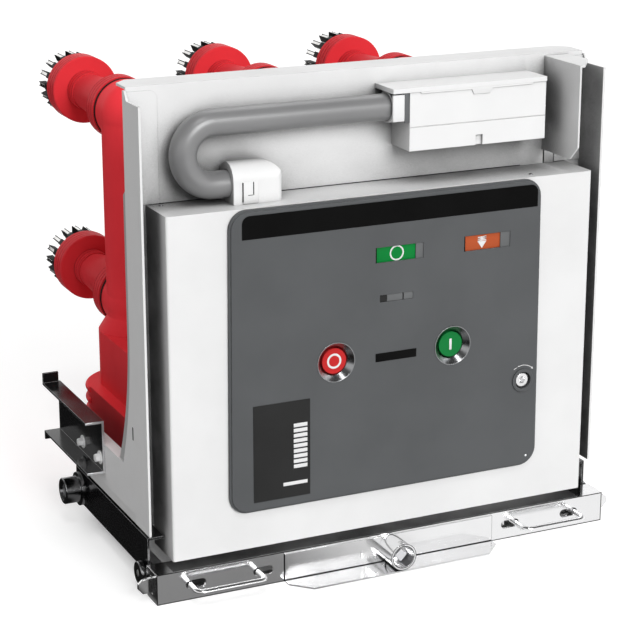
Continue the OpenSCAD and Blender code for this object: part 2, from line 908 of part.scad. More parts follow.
// Bars of the beam that slide in the rails.
module slide_bars() {
    low = rail_z + 6.5;
    color(steel) both_sides()
        box([7 - rail_x, beam_wall - beam_front, low], [rail_w - 3 - rail_x, slide_y, beam_h - 3]);
}

// Racking screw with a square end for the crank.
module lead_screw() {
    end = -beam_front - 4;
    square_w = 12;
    color(steel) {
        rod_y(0, beam_z, end, screw_y, screw_r);
        stand(8 - lip_front, end) translate([0, beam_z]) rotate(45) square(square_w, center = true);
    }
}

// Nut of the racking screw under the base tray.
module screw_nut() {
    half = 20;
    length = 20;
    color(steel) difference() {
        box([-half, nut_y, 4.5], [half, nut_y + length, base_z]);
        rod_y(0, beam_z, nut_y - 1, nut_y + length + 1, screw_r + fit);
    }
}

// Latch handle: a bent rod outside and a flat latch with its tongue inside the beam.
module latch_handle() {
    bar_y = -beam_front - handle_out + rod_r;
    bend = 9;
    tip = beam_half + 18.5;
    root = leg_inner - 8;
    color(steel) {
        for (x = [leg_inner, leg_outer]) rod_y(-x, beam_z, bar_y + bend, tongue_y, rod_r);
        rod_x(-leg_outer + bend, -leg_inner - bend, bar_y, beam_z, rod_r);
        translate([-leg_outer + bend, bar_y + bend, beam_z]) rotate(180)
            rotate_extrude(angle = 90) translate([bend, 0]) circle(rod_r);
        translate([-leg_inner - bend, bar_y + bend, beam_z]) rotate(270)
            rotate_extrude(angle = 90) translate([bend, 0]) circle(rod_r);
        stand(tongue_y, tongue_y + tongue_t) polygon([[-root, tongue_low], [-tip + 6, tongue_low],
            [-tip, tongue_low + 7], [-tip, tongue_top - 6], [-tip + 6, tongue_top - 1],
            [-tip + 12, tongue_top], [-root, tongue_top]]);
    }
}

module left_handle() {
    latch_handle();
}

module right_handle() {
    mirror([1, 0, 0]) latch_handle();
}

translate([0, shift_y, 0]) {
    back_plate();
    left_side_plate();
    right_side_plate();
    frame_gussets();
    base_plate();
    mechanism_housing();
    front_cover();
    control_panel();
    panel_strip();
    name_plate();
    legend_plate();
    state_window();
    spring_window();
    counter_window();
    button_bowls();
    open_button();
    close_button();
    charging_socket();
    charging_shaft();
    left_pole();
    middle_pole();
    right_pole();
    contact_sleeves();
    sleeve_gaskets();
    tulip_contacts();
    plug_box();
    hose();
    hose_elbow();
    plug_guard();
    side_rails();
    rear_crossmember();
    side_brackets();
    wheel_axles();
    front_left_wheel();
    front_right_wheel();
    rear_left_wheel();
    rear_right_wheel();
    front_beam();
    lip_plate();
    crank_tube();
    slide_bars();
    lead_screw();
    screw_nut();
    left_handle();
    right_handle();
}
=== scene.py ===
import math

import bmesh
import bpy
from bpy.props import FloatProperty, FloatVectorProperty, IntProperty, PointerProperty
from mathutils import Matrix, Vector


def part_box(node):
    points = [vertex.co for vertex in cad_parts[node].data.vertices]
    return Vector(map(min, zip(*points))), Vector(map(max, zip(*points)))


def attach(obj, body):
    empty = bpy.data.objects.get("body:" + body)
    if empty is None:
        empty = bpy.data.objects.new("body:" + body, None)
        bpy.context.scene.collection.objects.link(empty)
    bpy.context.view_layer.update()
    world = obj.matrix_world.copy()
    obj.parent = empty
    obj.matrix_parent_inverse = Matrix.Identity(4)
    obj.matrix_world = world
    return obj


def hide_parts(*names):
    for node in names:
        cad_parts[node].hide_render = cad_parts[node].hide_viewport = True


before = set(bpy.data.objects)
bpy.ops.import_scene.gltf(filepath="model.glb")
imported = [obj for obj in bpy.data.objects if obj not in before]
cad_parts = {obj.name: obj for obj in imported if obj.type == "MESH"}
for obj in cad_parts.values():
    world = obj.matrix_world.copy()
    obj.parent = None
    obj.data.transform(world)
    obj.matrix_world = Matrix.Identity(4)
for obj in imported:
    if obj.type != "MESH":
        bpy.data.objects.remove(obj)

bl_info = {
    "name": "Withdrawable vacuum circuit breaker",
    "version": (1, 0, 0),
    "blender": (4, 5, 0),
    "location": "View3D > Sidebar > Breaker",
    "description": "Finishes, contact fingers, hose, fasteners and marks for the breaker",
    "category": "Object",
}

MM = 0.001
TURN = 2 * math.pi
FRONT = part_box("front_cover")[0].y
PANEL_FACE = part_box("control_panel")[0].y
INLAY = 0.02 * MM
UP, BACK = Vector((0, 0, 1)), Vector((0, 1, 0))


def mm(x, y, z):
    """A vector given in millimetres."""
    return Vector((x, y, z)) * MM


def middle(node):
    """The middle of a solid's box."""
    low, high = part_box(node)
    return (low + high) / 2


# Settings a user would change

def colour(name, text, value):
    return FloatVectorProperty(name=name, description=text, subtype="COLOR", size=3,
                               min=0.0, max=1.0, default=value)


def size(name, text, millimetres):
    return FloatProperty(name=name, description=text, default=millimetres * MM, min=0.0,
                         subtype="DISTANCE", unit="LENGTH", precision=5)


def amount(name, text, value):
    return FloatProperty(name=name, description=text, default=value, min=0.0)


def angle(name, text, degrees):
    return FloatProperty(name=name, description=text, default=math.radians(degrees),
                         unit="ROTATION")


class BreakerFinishes(bpy.types.PropertyGroup):
    """Colours of the breaker's finishes."""
    white_coat: colour("White coat", "Powder coat of the sheet metal", (0.83, 0.83, 0.83))
    white_shade: colour("White coat shade", "Cloudy shade in the powder coat", (0.79, 0.79, 0.79))
    plug_white: colour("Plug white", "Moulded plug box and hose elbow", (0.87, 0.87, 0.87))
    panel_grey: colour("Panel grey", "Moulded operating panel", (0.104, 0.108, 0.112))
    epoxy_red: colour("Epoxy red", "Cast poles and contact sleeves", (0.97, 0.052, 0.066))
    epoxy_shade: colour("Epoxy shade", "Cloudy shade in the cast epoxy", (0.90, 0.046, 0.059))
    hose_grey: colour("Hose grey", "Smooth control hose", (0.21, 0.21, 0.213))
    black_paint: colour("Black paint", "Truck rails and brackets", (0.006, 0.006, 0.0065))
    bare_steel: colour("Bare steel", "Steel that shows at worn edges", (0.50, 0.50, 0.51))
    bright_steel: colour("Bright steel", "Beam, lip and handles", (0.90, 0.90, 0.905))
    bowl_steel: colour("Bowl steel", "Bowls round the buttons", (0.30, 0.304, 0.31))
    silver: colour("Silver plate", "Contact fingers", (0.86, 0.85, 0.83))
    open_red: colour("Opening red", "Cap of the opening button", (0.58, 0.024, 0.025))
    close_green: colour("Closing green", "Cap of the closing button", (0.005, 0.205, 0.044))
    flag_green: colour("Flag green", "State flag", (0.004, 0.235, 0.043))
    flag_orange: colour("Flag orange", "Spring flag", (0.50, 0.10, 0.034))


class BreakerSizes(bpy.types.PropertyGroup):
    """Sizes of the pieces that dress the breaker."""
    finger_count: IntProperty(name="Fingers", description="Fingers in a contact ring",
                              default=16, min=8, max=24)
    finger_thick: size("Finger thickness", "Thickness of a contact finger", 4.4)
    leaf_thick: size("Leaf thickness", "Thickness of the dark leaf springs beside a finger", 1.0)
    finger_root: size("Finger root", "Radius of the fingers' inner edges", 19.5)
    bolt_size: size("Bolt size", "Width across the flats of the frame bolts", 10.0)
    screw_head: size("Screw head", "Diameter of the small pan-head screws", 5.0)
    mark_height: size("Mark height", "Thickness of printed and inlaid marks", 0.25)
    thread_pitch: size("Thread pitch", "Pitch of the racking screw", 10.0)


class StudioSettings(bpy.types.PropertyGroup):
    """Camera and light."""
    lens: FloatProperty(name="Lens", description="Focal length for a 36 mm sensor", default=112.0,
                        min=10.0, unit="CAMERA")
    place: FloatVectorProperty(name="Camera place", description="Where the camera stands", size=3,
                               subtype="TRANSLATION", unit="LENGTH",
                               default=(-1.0925, -2.4115, 1.055))
    azimuth: angle("Azimuth", "Camera's turn round the object", -25.1)
    elevation: angle("Elevation", "Camera's angle above the floor", 17.0)
    key: amount("Key light", "Strength of the soft main lamp", 2.03)
    sky: amount("Sky light", "Strength of the even light", 0.35)
    fill: amount("Back light", "Strength of the soft lamp behind", 0.8)
    top: amount("Top light", "Strength of the narrow lamp above", 0.45)
    wall: amount("Wall", "Brightness of the mirrored wall", 1.08)
    ceiling: amount("Ceiling", "Brightness of the mirrored ceiling", 0.1)
    # Brightness of the floor's painted reflection on the left, seen only in reflections.
    painted_floor_reflection: amount("Floor shade", "Mirrored brightness of the floor on the left", 0.25)
    floor_glow: amount("Floor glow", "Lift of the floor to white", 0.56)


# Node helpers

def feed(tree, node, inputs):
    """Values and links for a node's inputs, by name or number."""
    for label, value in inputs.items():
        if isinstance(value, bpy.types.NodeSocket):
            tree.links.new(value, node.inputs[label])
        else:
            node.inputs[label].default_value = value


def add_node(tree, kind, inputs, output=0, **settings):
    """One output of a new node; every input takes a value or another node's socket."""
    node = tree.nodes.new(kind)
    for name, value in settings.items():
        setattr(node, name, value)
    feed(tree, node, inputs)
    return node.outputs[output]


def calc(tree, operation, first, second, clamp=False):
    """Two values put together by a math node."""
    return add_node(tree, "ShaderNodeMath", {0: first, 1: second}, operation=operation,
                    use_clamp=clamp)


def noise(tree, vector, scale, detail=2.0):
    return add_node(tree, "ShaderNodeTexNoise",
                    {"Vector": vector, "Scale": scale, "Detail": detail})


def spread(tree, value, low, high, start=0.35, end=0.65):
    """A value between start and end, spread from low to high."""
    return add_node(tree, "ShaderNodeMapRange",
                    {"Value": value, "From Min": start, "From Max": end, "To Min": low,
                     "To Max": high})


def blend_colours(tree, mask, first, second):
    """The first colour where the mask is zero, the second where it is one."""
    ends = [(*value, 1.0) if isinstance(value, tuple) else value for value in (first, second)]
    return add_node(tree, "ShaderNodeMix", {"Factor": mask, 6: ends[0], 7: ends[1]}, 2,
                    data_type="RGBA")


def own_place(tree):
    """Coordinates of the piece itself."""
    return add_node(tree, "ShaderNodeTexCoord", {}, "Object")


# Shader groups

def shader_group(name, inputs, outputs):
    """A new group with its inputs' default values and the names of its outputs."""
    group = bpy.data.node_groups.new(name, "ShaderNodeTree")
    for label, value in inputs.items():
        kind = "NodeSocketVector" if isinstance(value, tuple) else "NodeSocketFloat"
        group.interface.new_socket(label, in_out="INPUT", socket_type=kind).default_value = value
    for label in outputs:
        kind = "NodeSocketVector" if label == "Normal" else "NodeSocketFloat"
        group.interface.new_socket(label, in_out="OUTPUT", socket_type=kind)
    return group, group.nodes.new("NodeGroupInput").outputs, group.nodes.new("NodeGroupOutput")


def make_surface_grain():
    """Fine grain for bump, a roughness that drifts, and a slow cloud for the tone."""
    group, given, out = shader_group("surface_grain", {"Grain": 900.0, "Low": 0.35, "High": 0.5},
                                     ("Height", "Roughness", "Cloud"))
    place = own_place(group)
    cloud = noise(group, place, 11.0, 4.0)
    feed(group, out, {"Height": noise(group, place, given["Grain"]),
                      "Roughness": spread(group, cloud, given["Low"], given["High"]),
                      "Cloud": spread(group, cloud, 0.0, 1.0)})
    return group


def make_brushed_lines():
    """Fine lines drawn along one direction, as grinding and turning leave them."""
    group, given, out = shader_group(
        "brushed_lines", {"Stretch": (20.0, 900.0, 900.0), "Low": 0.1, "High": 0.2},
        ("Height", "Roughness"))
    scaled = add_node(group, "ShaderNodeVectorMath", {0: own_place(group), 1: given["Stretch"]},
                      operation="MULTIPLY")
    lines = noise(group, scaled, 1.0, 3.0)
    feed(group, out, {"Height": lines,
                      "Roughness": spread(group, lines, given["Low"], given["High"])})
    return group


def make_soft_edges():
    """A normal that rounds sharp edges, and a patchy mask of those edges, for worn paint and for
    painted edge highlights.
    """
    group, given, out = shader_group("soft_edges", {"Radius": 0.001, "Gain": 5.0},
                                     ("Normal", "Wear"))
    rounded = add_node(group, "ShaderNodeBevel", {"Radius": given["Radius"]}, samples=4)
    flat = add_node(group, "ShaderNodeNewGeometry", {}, "Normal")
    turn = add_node(group, "ShaderNodeVectorMath", {0: rounded, 1: flat}, "Value",
                    operation="DOT_PRODUCT")
    away = calc(group, "SUBTRACT", 1.0, turn)
    patches = spread(group, noise(group, own_place(group), 45.0, 4.0), 0.35, 1.0)
    wear_and_highlight = calc(group, "MULTIPLY", calc(group, "MULTIPLY", away, given["Gain"]), patches, True)
    feed(group, out, {"Normal": rounded, "Wear": wear_and_highlight})
    return group


def make_painted_corner_shade():
    """A mask of painted shade that grows where surfaces stand close together, broken up by a soft
    cloud.
    """
    group, given, out = shader_group("corner_dust", {"Reach": 0.06, "Amount": 0.7}, ("Dust",))
    near = add_node(group, "ShaderNodeAmbientOcclusion", {"Distance": given["Reach"]}, "AO",
                    samples=8)
    closed = spread(group, near, 1.0, 0.0, 0.22, 0.66)
    cloud = spread(group, noise(group, own_place(group), 30.0, 3.0), 0.9, 1.0)
    painted_shade = calc(group, "MULTIPLY", calc(group, "MULTIPLY", closed, cloud), given["Amount"], True)
    feed(group, out, {"Dust": painted_shade})
    return group


GROUP_MAKERS = {"surface_grain": make_surface_grain, "brushed_lines": make_brushed_lines,
                "soft_edges": make_soft_edges, "corner_dust": make_painted_corner_shade}
GROUPS = {}


def use_group(tree, name, **values):
    """The outputs of the shared group in this material, with its own values."""
    if name not in GROUPS:
        GROUPS[name] = GROUP_MAKERS[name]()
    node = tree.nodes.new("ShaderNodeGroup")
    node.node_tree = GROUPS[name]
    feed(tree, node, values)
    return node.outputs


# Finishes

FINISH = {}
# Tone of the painted shade in corners, as a share of the main tone.
PAINTED_SHADE_TONE = 0.05
GRAIN_DEPTH, LINE_DEPTH = 0.3 * MM, 0.1 * MM


def dim(value, share):
    return tuple(share * part for part in value)


def grey(value):
    return (value, value, value)


def new_material(name):
    material = bpy.data.materials.new(name)
    material.use_nodes = True
    return material, material.node_tree, material.node_tree.nodes["Principled BSDF"]


def bumped(tree, height, strength, depth, under):
    """A normal roughened by a height."""
    return add_node(tree, "ShaderNodeBump", {"Strength": strength, "Distance": depth,
                                             "Height": height, "Normal": under})


def painted(name, main, shade, low, high, grain, bump, edge, gloss, wear_and_highlight=None, gain=5.0,
            painted_shade=None):
    """A coated or moulded finish: cloudy tone, drifting gloss, fine grain, soft edges, an edge tone
    (worn bare steel on black paint, a painted highlight on the panel and the inner coat) and
    painted shade in corners.
    """
    FINISH[name], tree, shader = new_material(name)
    surface = use_group(tree, "surface_grain", Grain=grain, Low=low, High=high)
    edges = use_group(tree, "soft_edges", Radius=edge * MM, Gain=gain)
    tone = blend_colours(tree, surface["Cloud"], tuple(main), tuple(shade))
    # Edge tone: bare steel where black paint is worn, and a painted highlight on the panel's and
    # the inner coat's edges.
    if wear_and_highlight is not None:
        tone = blend_colours(tree, edges["Wear"], tone, tuple(wear_and_highlight))
    # Painted shade: the tone darkens where surfaces stand close together, as shade falls in
    # corners, gaps and grooves.
    if painted_shade is not None:
        corner = use_group(tree, "corner_dust", Reach=painted_shade[0] * MM, Amount=painted_shade[1])
        tone = blend_colours(tree, corner["Dust"], tone, dim(main, PAINTED_SHADE_TONE))
    feed(tree, shader, {
        "Base Color": tone, "Roughness": surface["Roughness"], "Specular IOR Level": gloss,
        "Normal": bumped(tree, surface["Height"], bump, GRAIN_DEPTH, edges["Normal"])})


def metal(name, main, shade, low, high, stretch, bump=0.03, edge=0.6):
    """Bright or darkened steel with fine lines along one direction."""
    FINISH[name], tree, shader = new_material(name)
    lines = use_group(tree, "brushed_lines", Stretch=stretch, Low=low, High=high)
    surface = use_group(tree, "surface_grain", Grain=300.0, Low=low, High=high)
    edges = use_group(tree, "soft_edges", Radius=edge * MM, Gain=4.0)
    feed(tree, shader, {
        "Base Color": blend_colours(tree, surface["Cloud"], tuple(main), tuple(shade)),
        "Roughness": lines["Roughness"], "Metallic": 1.0,
        "Normal": bumped(tree, lines["Height"], bump, LINE_DEPTH, edges["Normal"])})


def make_finishes(set_):
    """Every finish of the breaker, by its slot in the record or its own name."""
    white, white_shade = set_.white_coat, set_.white_shade
    red, red_shade = set_.epoxy_red, set_.epoxy_shade
    # Tone, cloud tone, roughness from and to, grain, bump, edge in millimetres, gloss
    # The white coat, the plug's plastic and the sleeves darken in corners, gaps and grooves within
    # a reach in millimetres: painted shade.
    painted("white_powder_coat", white, white_shade, 0.38, 0.5, 1300, 0.06, 1.0, 0.3,
            painted_shade=(80, 0.95))
    # A dimmed copy of the white coat for the frame's inner plates, whose faces lie in shade:
    # painted shade, brought back to the full white at the edges as a painted highlight.
    painted("inner_coat", dim(white, 0.6), dim(white_shade, 0.55), 0.4, 0.5, 1300, 0.06, 1.2, 0.2,
            wear_and_highlight=white, gain=4.0)
    painted("white_plastic", set_.plug_white, dim(set_.plug_white, 0.96), 0.3, 0.42, 800, 0.04,
            1.0, 0.35, painted_shade=(110, 0.8))
    # The panel's edges turn a paler grey: a painted edge highlight.
    painted("grey_panel", set_.panel_grey, dim(set_.panel_grey, 0.9), 0.38, 0.5, 1500, 0.1, 1.5,
            0.15, wear_and_highlight=(0.19, 0.2, 0.205), gain=3.0)
    for name, tone in (("green_flag", set_.flag_green), ("orange_flag", set_.flag_orange)):
        painted(name, tone, dim(tone, 0.85), 0.25, 0.35, 700, 0.03, 0.4, 0.1)
    for name, tone in (("red_button", set_.open_red), ("green_button", set_.close_green)):
        painted(name, tone, dim(tone, 0.88), 0.28, 0.38, 900, 0.05, 0.6, 0.15)
    painted("red_epoxy", red, red_shade, 0.3, 0.42, 350, 0.05, 1.5, 0.03)
    painted("sleeve_red", dim(red, 0.77), dim(red_shade, 0.77), 0.3, 0.42, 350, 0.05, 1.0, 0.03,
            painted_shade=(5, 0.6))
    painted("grey_hose", set_.hose_grey, dim(set_.hose_grey, 0.9), 0.33, 0.38, 1000, 0.04, 0.5, 1.0)
    painted("black_paint", set_.black_paint, dim(set_.black_paint, 1.5), 0.12, 0.22, 700, 0.03,
            1.2, 0.5, wear_and_highlight=set_.bare_steel, gain=4.0)
    painted("black_gloss", grey(0.004), grey(0.006), 0.3, 0.4, 500, 0.03, 0.3, 0.03)
    painted("black_rubber", grey(0.006), grey(0.01), 0.6, 0.8, 1200, 0.1, 0.5, 0.1)
    painted("clip_black", grey(0.004), grey(0.007), 0.4, 0.5, 900, 0.05, 0.3, 0.05)
    painted("plate_film", grey(0.03), grey(0.025), 0.35, 0.45, 500, 0.03, 0.3, 0.08)
    painted("window_end", (0.15, 0.155, 0.158), (0.13, 0.134, 0.137), 0.35, 0.5, 1500, 0.05, 0.2,
            0.15)
    painted("white_print", grey(0.82), grey(0.76), 0.4, 0.55, 1500, 0.05, 0.1, 0.2)
    painted("bolt_zinc", grey(0.90), (0.84, 0.84, 0.85), 0.25, 0.4, 900, 0.05, 0.5, 1.0)
    # Tone, cloud tone, roughness from and to, how the lines are stretched
    metal("polished_steel", set_.bright_steel, dim(set_.bright_steel, 0.93), 0.08, 0.18,
          (25.0, 1200.0, 1200.0), edge=1.3)
    metal("bowl_steel", set_.bowl_steel, dim(set_.bowl_steel, 0.96), 0.22, 0.26,
          (300.0, 60.0, 300.0), bump=0.0)
    metal("silver_plated_copper", set_.silver, dim(set_.silver, 0.9), 0.12, 0.24,
          (900.0, 60.0, 900.0), edge=0.4)
    metal("wheel_steel", (0.30, 0.30, 0.305), (0.22, 0.22, 0.225), 0.1, 0.2, (60.0, 900.0, 900.0))
    metal("zinc_steel", (0.90, 0.90, 0.91), (0.80, 0.80, 0.82), 0.3, 0.45, (500.0, 500.0, 500.0))


NODE_FINISH = {
    "white_powder_coat": "back_plate left_side_plate right_side_plate base_plate"
                         " mechanism_housing front_cover plug_guard",
    # The inner plates take the dimmed white coat of painted shade.
    "inner_coat": "frame_gussets",
    "white_plastic": "plug_box hose_elbow",
    "grey_panel": "control_panel charging_socket",
    "black_gloss": "panel_strip legend_plate",
    "plate_film": "name_plate counter_window",
    "green_flag": "state_window",
    "orange_flag": "spring_window",
    "bowl_steel": "button_bowls",
    "polished_steel": "charging_shaft front_beam lip_plate crank_tube left_handle right_handle",
    "red_button": "open_button",
    "green_button": "close_button",
    "red_epoxy": "left_pole middle_pole right_pole",
    "sleeve_red": "contact_sleeves",
    "black_rubber": "sleeve_gaskets",
    "silver_plated_copper": "tulip_contacts",
    "grey_hose": "hose",
    "black_paint": "side_rails rear_crossmember side_brackets",
    "wheel_steel": "front_left_wheel front_right_wheel rear_left_wheel rear_right_wheel",
    "zinc_steel": "wheel_axles slide_bars lead_screw screw_nut",
}


def paint_solids(set_):
    """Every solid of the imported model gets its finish."""
    left = set(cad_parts)
    for finish, nodes in NODE_FINISH.items():
        for node in nodes.split():
            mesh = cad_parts[node].data
            mesh.materials.clear()
            mesh.materials.append(FINISH[finish])
            left.discard(node)
    if left:
        raise RuntimeError("no finish for " + ", ".join(sorted(left)))


# Mesh makers

def add_block(bm, low, high):
    """A box between two corners."""
    corners = [bm.verts.new((x, y, z)) for x in (low[0], high[0]) for y in (low[1], high[1])
               for z in (low[2], high[2])]
    for face in ((0, 1, 3, 2), (4, 6, 7, 5), (0, 4, 5, 1), (2, 3, 7, 6), (0, 2, 6, 4),
                 (1, 5, 7, 3)):
        bm.faces.new([corners[i] for i in face])


def blocks(*pairs):
    """A build function for boxes, each between two corners."""
    def build(bm):
        for low, high in pairs:
            add_block(bm, low, high)
    return build


def both_sides(pairs):
    """Boxes by their corners, and their mirror images across the middle."""
    return pairs + [((-high[0], low[1], low[2]), (-low[0], high[1], high[2]))
                    for low, high in pairs]


def join_rings(bm, one, two):
    """Faces between two rings of points; a ring of one point is a tip."""
    count = max(len(one), len(two))
    for i in range(count):
        j = (i + 1) % count
        face = [one[i % len(one)], one[j % len(one)], two[j % len(two)], two[i % len(two)]]
        kept = [v for n, v in enumerate(face) if v not in face[:n]]
        if len(kept) > 2:
            bm.faces.new(kept)


def add_prism(bm, outline, depth):
    """A closed outline of points, carried along the depth vector."""
    first = [bm.verts.new(point) for point in outline]
    second = [bm.verts.new(Vector(point) + Vector(depth)) for point in outline]
    bm.faces.new(first)
    bm.faces.new(list(reversed(second)))
    for i in range(len(first)):
        j = (i + 1) % len(first)
        bm.faces.new((first[i], second[i], second[j], first[j]))


def add_turned(bm, profile, place=Matrix.Identity(4), count=48, closed=False):
    """A profile of radius and height turned about the local Z axis of a matrix."""
    rings = []
    for radius, height in profile:
        turns = [TURN * i / count for i in range(count if radius > 0 else 1)]
        rings.append([bm.verts.new(place @ Vector((radius * math.cos(turn),
                                                   radius * math.sin(turn), height)))
                      for turn in turns])
    for one, two in zip(rings, rings[1:] + (rings[:1] if closed else [])):
        join_rings(bm, one, two)


def facing(centre, towards):
    """A matrix at a place whose Z axis points to the front for 1 and to the back for -1."""
    return Matrix.Translation(centre) @ Matrix.Rotation(towards * math.pi / 2, 4, "X")


def add_flat_ring(bm, centre, inner, outer, height, count=48):
    """A thin ring that lies on the panel, its radii in millimetres."""
    inner, outer = inner * MM, outer * MM
    add_turned(bm, [(inner, 0), (outer, 0), (outer, height), (inner, height)],
               facing(centre, 1), count, closed=True)


def add_band(bm, path, width, y, height):
    """A thin band of even width on a front-facing surface along a path of x and z."""
    edges = []
    for i, point in enumerate(path):
        ahead = path[min(i + 1, len(path) - 1)] - path[max(i - 1, 0)]
        side = Vector((-ahead.y, ahead.x)).normalized() * width / 2
        edges.append((point + side, point - side))
    for one, two in zip(edges, edges[1:]):
        add_prism(bm, [(p.x, y - height, p.y) for p in (one[0], one[1], two[1], two[0])],
                  (0, height, 0))


def solid_mesh(name, build, bevel, segments):
    """A mesh from a build function, its sharp edges bevelled by so many millimetres."""
    bm = bmesh.new()
    build(bm)
    bmesh.ops.remove_doubles(bm, verts=bm.verts, dist=1e-7)
    bmesh.ops.recalc_face_normals(bm, faces=bm.faces)
    if bevel > 0:
        sharp = [e for e in bm.edges if len(e.link_faces) == 2
                 and e.calc_face_angle() > math.radians(30)]
        bmesh.ops.bevel(bm, geom=sharp, offset=bevel * MM, segments=segments, profile=0.5,
                        affect="EDGES", clamp_overlap=True)
    mesh = bpy.data.meshes.new(name)
    bm.to_mesh(mesh)
    bm.free()
    return mesh


def put(name, data):
    """A new object in the scene."""
    item = bpy.data.objects.new(name, data)
    bpy.context.scene.collection.objects.link(item)
    return item


def settle(name, mesh, finish, slot=None, body="breaker", smooth=35.0, replaces=None):
    """A finished mesh as a piece that rides on a body, in place of a solid where one is named."""
    mesh.materials.clear()
    mesh.materials.append(FINISH[finish])
    mesh.shade_smooth()
    mesh.set_sharp_from_angle(angle=math.radians(smooth))
    item = put(name, mesh)
    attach(item, body)
    if replaces is not None:
        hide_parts(replaces)


def piece(name, build, finish, slot=None, bevel=0.0, **rest):
    """A built mesh as a piece of the scene."""
    settle(name, solid_mesh(name, build, bevel, 2), finish, slot, **rest)


# Geometry node trees

def start_tree(name, inputs):
    """A tree with its inputs and the template's mesh."""
    tree = bpy.data.node_groups.new(name, "GeometryNodeTree")
    for label, kind in inputs.items():
        tree.interface.new_socket(label, in_out="INPUT", socket_type="NodeSocket" + kind)
    tree.interface.new_socket("Geometry", in_out="OUTPUT", socket_type="NodeSocketGeometry")
    given = tree.nodes.new("NodeGroupInput").outputs
    template = add_node(tree, "GeometryNodeObjectInfo", {"Object": given["Template"]}, "Geometry")
    return tree, given, template


def end_tree(tree, given, instances):
    """The copies as a plain mesh in the given finish."""
    real = add_node(tree, "GeometryNodeRealizeInstances", {"Geometry": instances})
    finish = add_node(tree, "GeometryNodeSetMaterial",
                      {"Geometry": real, "Material": given["Finish"]})
    feed(tree, tree.nodes.new("NodeGroupOutput"), {"Geometry": finish})
    return tree


def make_ring_tree():
    """Copies of a template in a ring about the Y axis, at every given centre."""
    tree, given, template = start_tree("ring_of_copies", {
        "Centres": "Geometry", "Template": "Object", "Count": "Int", "Finish": "Material"})
    row = add_node(tree, "GeometryNodeMeshLine", {"Offset": (0, 0, 0), "Count": given["Count"]})
    index = add_node(tree, "GeometryNodeInputIndex", {})
    turn = calc(tree, "MULTIPLY", calc(tree, "DIVIDE", index, given["Count"]), TURN)
    about = add_node(tree, "ShaderNodeCombineXYZ", {"Y": turn})
    ring = add_node(tree, "GeometryNodeInstanceOnPoints", {
        "Points": row, "Instance": template, "Rotation": about})
    rings = add_node(tree, "GeometryNodeInstanceOnPoints", {
        "Points": given["Centres"], "Instance": ring})
    return end_tree(tree, given, rings)


def make_fastener_tree():
    """A fastener on every point, its axis along the point's own facing vector."""
    tree, given, template = start_tree("fasteners_on_points", {
        "Points": "Geometry", "Template": "Object", "Size": "Float", "Finish": "Material"})
    axis = add_node(tree, "GeometryNodeInputNamedAttribute", {"Name": "facing"},
                    data_type="FLOAT_VECTOR")
    align = add_node(tree, "FunctionNodeAlignRotationToVector", {"Vector": axis}, axis="Z")
    spots = add_node(tree, "GeometryNodeInstanceOnPoints", {
        "Points": given["Points"], "Instance": template, "Rotation": align,
        "Scale": given["Size"]})
    return end_tree(tree, given, spots)


def make_template(name, build, bevel=0.0, cutter=None):
    """A small mesh object to copy, in its own place at the origin."""
    item = put(name, solid_mesh(name, build, bevel, 1))
    if cutter is not None:
        cut = item.modifiers.new("recess", "BOOLEAN")
        cut.operation = "DIFFERENCE"
        cut.object = cutter
    return item


def scatter(name, points, tree, values, finish, slot=None, facings=None, replaces=None):
    """The tree's copies on the points as one plain mesh piece."""
    mesh = bpy.data.meshes.new(name + "_points")
    mesh.from_pydata([tuple(p) for p in points], [], [])
    if facings is not None:
        axis = mesh.attributes.new("facing", "FLOAT_VECTOR", "POINT")
        axis.data.foreach_set("vector", [part for f in facings for part in f])
    carrier = put(name + "_points", mesh)
    layout = carrier.modifiers.new("layout", "NODES")
    layout.node_group = tree
    values = dict(values, Finish=FINISH[finish])
    for item in tree.interface.items_tree:
        if item.item_type == "SOCKET" and item.in_out == "INPUT" and item.name in values:
            layout[item.identifier] = values[item.name]
    bpy.context.view_layer.update()
    evaluated = carrier.evaluated_get(bpy.context.evaluated_depsgraph_get())
    result = bpy.data.meshes.new_from_object(evaluated)
    if not result.polygons:
        raise RuntimeError(name + " came out empty")
    bpy.data.objects.remove(carrier)
    settle(name, result, finish, slot, replaces=replaces)


# Pieces

def make_hose(set_):
    """The control hose as one smooth curve from the elbow to the plug."""
    low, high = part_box("hose")
    radius = (high.y - low.y) / 2
    depth = (high.y + low.y) / 2
    upper, lower = high.z - radius, low.z + radius
    bend = (upper - lower) / 2
    turn_x = low.x + radius + bend
    inside_elbow = 12 * MM
    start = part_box("hose_elbow")[0].x + inside_elbow
    route = [Vector((start + (turn_x - start) * i / 4, depth, lower)) for i in range(4)]
    for i in range(25):
        turn = math.pi * i / 24
        route.append(Vector((turn_x - bend * math.sin(turn), depth,
                             (upper + lower) / 2 - bend * math.cos(turn))))
    route += [Vector((turn_x + (high.x - turn_x) * i / 8, depth, upper)) for i in range(1, 9)]
    line = bpy.data.curves.new("control_hose", "CURVE")
    line.dimensions = "3D"
    line.bevel_depth = radius
    line.bevel_resolution = 8
    line.use_fill_caps = True
    spline = line.splines.new("POLY")
    spline.points.add(len(route) - 1)
    for spot, point in zip(spline.points, route):
        spot.co = (*point, 1.0)
    spline.use_smooth = True
    line.materials.append(FINISH["grey_hose"])
    item = put("control_hose", line)
    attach(item, "breaker")
    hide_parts("hose")


def contact_centres():
    """Where the six finger rings start, and their radius and length in millimetres."""
    low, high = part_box("tulip_contacts")
    radius = high.x - middle("right_pole").x
    centres = [Vector((middle(pole).x, low.y, height)) for pole in NODE_FINISH["red_epoxy"].split()
               for height in (low.z + radius, high.z - radius)]
    return centres, radius / MM, (high.y - low.y) / MM


def add_profile(bm, half, side):
    """A blade across the X axis from its side view in millimetres."""
    add_prism(bm, [mm(-half, along, out) for along, out in side], mm(2 * half, 0, 0))


